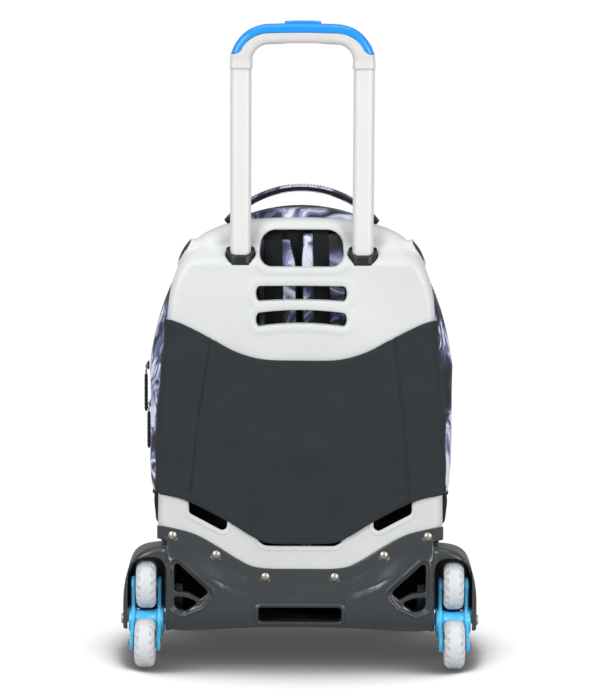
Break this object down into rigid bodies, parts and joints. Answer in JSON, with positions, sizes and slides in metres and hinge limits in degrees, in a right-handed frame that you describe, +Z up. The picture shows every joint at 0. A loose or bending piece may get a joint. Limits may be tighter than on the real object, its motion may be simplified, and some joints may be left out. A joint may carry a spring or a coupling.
{
  "type": "wheeled backpack",
  "caption": "Backpack on a hard-shell trolley with a telescopic handle and stair-climbing three-wheel stars.",
  "frame": {"origin": "on the floor, at the middle of the overall width and depth", "axes": "+Z up, +Y from the hard shell towards the front pocket, +X to the right seen from the shell side"},
  "size_m": [0.3796, 0.26, 0.6777],
  "materials": {
    "shell_plastic": "satin, fine grain",
    "base_plastic": "semi-gloss",
    "trim_plastic": "satin",
    "cover_cloth": "matt weave",
    "print_cloth": "navy weave with pale streaks",
    "boot_cloth": "matt weave",
    "tape_cloth": "ribbed tape",
    "tube_metal": "satin anodised",
    "sleeve_metal": "mill",
    "pin_steel": "zinc plated",
    "bright_metal": "nickel plated",
    "spring_steel": "plain",
    "blue_plastic": "gloss",
    "grip_plastic": "soft",
    "tyre_clear": "milky, satin",
    "core_plastic": "gloss",
    "spacer_plastic": "satin",
    "foot_rubber": "matt"
  },
  "bodies": {
    "trolley": {"back_shell": "shell_plastic", "back_cover": "cover_cloth", "base_moulding": "base_plastic", "base_rivets": "pin_steel", "tube_feet": "trim_plastic", "front_feet": "base_plastic", "foot_pads": "foot_rubber", "axle_spacers": "spacer_plastic", "outer_tubes": "sleeve_metal", "tube_collars": "trim_plastic", "main_axles": "pin_steel", "corner_spring_left": "spring_steel", "corner_spring_right": "spring_steel"},
    "handle": {"grip_body": "grip_plastic", "grip_cover": "blue_plastic", "handle_tubes": "tube_metal", "lock_blocks": "trim_plastic", "button_spring": "spring_steel", "lock_spring_left": "spring_steel", "lock_spring_right": "spring_steel"},
    "button": {"grip_button": "blue_plastic", "push_rods": "pin_steel"},
    "lock_pin_left": {"lock_pin_left": "pin_steel"},
    "lock_pin_right": {"lock_pin_right": "pin_steel"},
    "corner_button_left": {"corner_button_left": "trim_plastic"},
    "corner_button_right": {"corner_button_right": "trim_plastic"},
    "pack": {"bag_boot": "boot_cloth", "bag_main": "print_cloth", "front_boot": "boot_cloth", "front_bag": "print_cloth", "front_pocket": "print_cloth", "back_panel": "boot_cloth", "shoulder_straps": "print_cloth", "zip_main": "tape_cloth", "zip_front": "tape_cloth", "zip_pocket": "tape_cloth"},
    "carry_handle": {"carry_handle": "print_cloth"},
    "slider_main": {"slider_main": "bright_metal"},
    "pull_main": {"pull_main": "tape_cloth"},
    "slider_front": {"slider_front": "bright_metal"},
    "pull_front": {"pull_front": "tape_cloth"},
    "slider_pocket": {"slider_pocket": "bright_metal"},
    "pull_pocket": {"pull_pocket": "tape_cloth"},
    "star_left": {"star_plates_left": "blue_plastic", "wheel_pins_left": "pin_steel"},
    "wheel_left_top": {"tyre_left_top": "tyre_clear", "core_left_top": "core_plastic"},
    "wheel_left_rear": {"tyre_left_rear": "tyre_clear", "core_left_rear": "core_plastic"},
    "wheel_left_front": {"tyre_left_front": "tyre_clear", "core_left_front": "core_plastic"},
    "star_right": {"star_plates_right": "blue_plastic", "wheel_pins_right": "pin_steel"},
    "wheel_right_top": {"tyre_right_top": "tyre_clear", "core_right_top": "core_plastic"},
    "wheel_right_rear": {"tyre_right_rear": "tyre_clear", "core_right_rear": "core_plastic"},
    "wheel_right_front": {"tyre_right_front": "tyre_clear", "core_right_front": "core_plastic"}
  },
  "joints": [
    {"name": "handle_slide", "type": "slide", "parent": "trolley", "child": "handle", "axis": [0, 0, 1], "range_m": [-0.184, 0.105]},
    {"name": "button_press", "type": "slide", "parent": "handle", "child": "button", "axis": [0, 0, -1], "range_m": [0, 0.003], "stiffness_N_per_m": 400, "springref_m": -0.01, "deforming": ["button_spring"]},
    {"name": "lock_pin_left_slide", "type": "slide", "parent": "handle", "child": "lock_pin_left", "axis": [1, 0, 0], "range_m": [0, 0.003], "stiffness_N_per_m": 150, "springref_m": -0.004, "deforming": ["lock_spring_left"]},
    {"name": "lock_pin_right_slide", "type": "slide", "parent": "handle", "child": "lock_pin_right", "axis": [-1, 0, 0], "range_m": [0, 0.003], "stiffness_N_per_m": 150, "springref_m": -0.004, "deforming": ["lock_spring_right"]},
    {"name": "corner_button_left_press", "type": "slide", "parent": "trolley", "child": "corner_button_left", "axis": [0.851, 0.17, -0.497], "range_m": [0, 0.0025], "stiffness_N_per_m": 500, "springref_m": -0.008, "deforming": ["corner_spring_left"]},
    {"name": "corner_button_right_press", "type": "slide", "parent": "trolley", "child": "corner_button_right", "axis": [-0.851, 0.17, -0.497], "range_m": [0, 0.0025], "stiffness_N_per_m": 500, "springref_m": -0.008, "deforming": ["corner_spring_right"]},
    {"name": "pack_lift_off", "type": "slide", "parent": "trolley", "child": "pack", "axis": [0, 1, 0], "range_m": [0, 0.32]},
    {"name": "carry_handle_lean", "type": "hinge", "parent": "pack", "child": "carry_handle", "pos_m": [0, -0.018, 0.466], "axis": [1, 0, 0], "range_deg": [0, 15]},
    {"name": "slider_main_run", "type": "slide", "parent": "pack", "child": "slider_main", "axis": [0, 0, -1], "range_m": [0, 0.09]},
    {"name": "slider_front_run", "type": "slide", "parent": "pack", "child": "slider_front", "axis": [0, 0, -1], "range_m": [-0.036, 0.04]},
    {"name": "slider_pocket_run", "type": "slide", "parent": "pack", "child": "slider_pocket", "axis": [-1, 0, 0], "range_m": [0, 0.16]},
    {"name": "pull_main_swing", "type": "hinge", "parent": "slider_main", "child": "pull_main", "pos_m": [-0.169, 0.014, 0.304], "axis": [0, 1, 0], "range_deg": [0, 85]},
    {"name": "pull_front_swing", "type": "hinge", "parent": "slider_front", "child": "pull_front", "pos_m": [-0.169, 0.068, 0.254], "axis": [0, 1, 0], "range_deg": [0, 85]},
    {"name": "pull_pocket_swing", "type": "hinge", "parent": "slider_pocket", "child": "pull_pocket", "pos_m": [0.08, 0.1065, 0.304], "axis": [1, 0, 0], "range_deg": [0, 85]},
    {"name": "star_left_turn", "type": "hinge", "parent": "trolley", "child": "star_left", "pos_m": [-0.163, -0.07202, 0.04425], "axis": [1, 0, 0], "continuous": true},
    {"name": "wheel_left_top_spin", "type": "hinge", "parent": "star_left", "child": "wheel_left_top", "pos_m": [-0.163, -0.07202, 0.08175], "axis": [1, 0, 0], "continuous": true},
    {"name": "wheel_left_rear_spin", "type": "hinge", "parent": "star_left", "child": "wheel_left_rear", "pos_m": [-0.163, -0.1045, 0.0255], "axis": [1, 0, 0], "continuous": true},
    {"name": "wheel_left_front_spin", "type": "hinge", "parent": "star_left", "child": "wheel_left_front", "pos_m": [-0.163, -0.03955, 0.0255], "axis": [1, 0, 0], "continuous": true},
    {"name": "star_right_turn", "type": "hinge", "parent": "trolley", "child": "star_right", "pos_m": [0.163, -0.07202, 0.04425], "axis": [1, 0, 0], "continuous": true},
    {"name": "wheel_right_top_spin", "type": "hinge", "parent": "star_right", "child": "wheel_right_top", "pos_m": [0.163, -0.07202, 0.08175], "axis": [1, 0, 0], "continuous": true},
    {"name": "wheel_right_rear_spin", "type": "hinge", "parent": "star_right", "child": "wheel_right_rear", "pos_m": [0.163, -0.1045, 0.0255], "axis": [1, 0, 0], "continuous": true},
    {"name": "wheel_right_front_spin", "type": "hinge", "parent": "star_right", "child": "wheel_right_front", "pos_m": [0.163, -0.03955, 0.0255], "axis": [1, 0, 0], "continuous": true}
  ],
  "couplings": [
    {"joint": "lock_pin_left_slide", "follows": "button_press", "ratio": 1},
    {"joint": "lock_pin_right_slide", "follows": "button_press", "ratio": 1}
  ]
}
